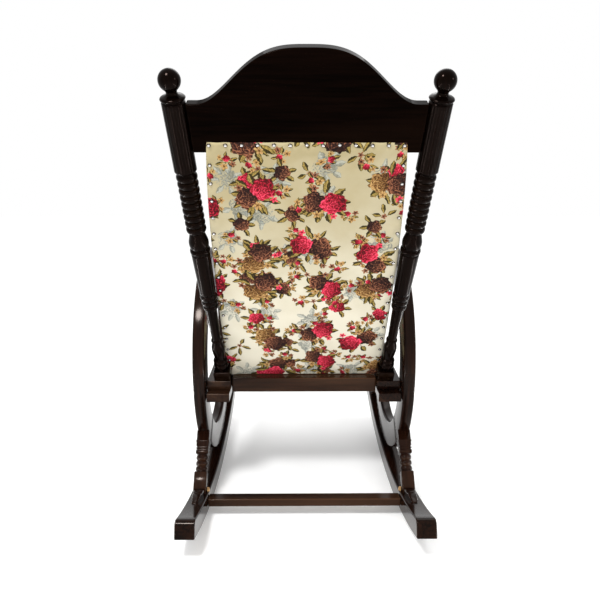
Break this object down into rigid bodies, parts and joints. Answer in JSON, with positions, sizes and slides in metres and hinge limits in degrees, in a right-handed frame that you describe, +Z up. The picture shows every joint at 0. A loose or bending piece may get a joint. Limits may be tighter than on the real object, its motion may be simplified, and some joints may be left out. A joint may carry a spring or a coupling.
{
  "type": "rocking chair",
  "caption": "High-backed wooden rocking chair with round arm hoops, turned back posts, a bell-shaped crest rail and padded floral fabric seat and back.",
  "frame": {"origin": "centre of the bounding box at floor level", "axes": "+Y the way the sitter faces, +X to the right of someone standing behind the chair, +Z up"},
  "size_m": [0.6, 1.1026, 1.0999],
  "materials": {
    "lacquered_wood": "very dark brown wood under high-gloss lacquer",
    "bare_wood": "unfinished pale wood",
    "floral_fabric": "cream printed cotton with roses and leaves",
    "bright_metal": "bright domed nails and fixings"
  },
  "bodies": {
    "root": {"rocker_left": "lacquered_wood", "rear_leg_left": "lacquered_wood", "front_leg_left": "lacquered_wood", "arm_hoop_front_left": "lacquered_wood", "arm_hoop_top_left": "lacquered_wood", "arm_hoop_rear_left": "lacquered_wood", "arm_hoop_bottom_left": "lacquered_wood", "seat_side_rail_left": "lacquered_wood", "seat_cleat_left": "lacquered_wood", "back_post_left": "lacquered_wood", "back_stile_left": "lacquered_wood", "stretcher_screw_left": "bright_metal", "hoop_bolt_rear_left": "bright_metal", "hoop_bolt_front_left": "bright_metal", "post_bolt_left": "bright_metal", "leg_wedge_left": "bare_wood", "rail_dowel_rear_left": "bare_wood", "rail_dowel_front_left": "bare_wood", "crest_dowel_lower_left": "bare_wood", "crest_dowel_upper_left": "bare_wood", "rocker_right": "lacquered_wood", "rear_leg_right": "lacquered_wood", "front_leg_right": "lacquered_wood", "arm_hoop_front_right": "lacquered_wood", "arm_hoop_top_right": "lacquered_wood", "arm_hoop_rear_right": "lacquered_wood", "arm_hoop_bottom_right": "lacquered_wood", "seat_side_rail_right": "lacquered_wood", "seat_cleat_right": "lacquered_wood", "back_post_right": "lacquered_wood", "back_stile_right": "lacquered_wood", "stretcher_screw_right": "bright_metal", "hoop_bolt_rear_right": "bright_metal", "hoop_bolt_front_right": "bright_metal", "post_bolt_right": "bright_metal", "leg_wedge_right": "bare_wood", "rail_dowel_rear_right": "bare_wood", "rail_dowel_front_right": "bare_wood", "crest_dowel_lower_right": "bare_wood", "crest_dowel_upper_right": "bare_wood", "rear_stretcher": "lacquered_wood", "seat_rear_rail": "lacquered_wood", "seat_front_rail": "lacquered_wood", "crest_rail": "lacquered_wood", "back_top_slat": "lacquered_wood", "back_foot_slat": "lacquered_wood", "seat_board": "bare_wood", "back_backing": "bare_wood", "seat_cushion": "floral_fabric", "back_pad": "floral_fabric", "back_rear_cover": "floral_fabric"}
  },
  "joints": []
}
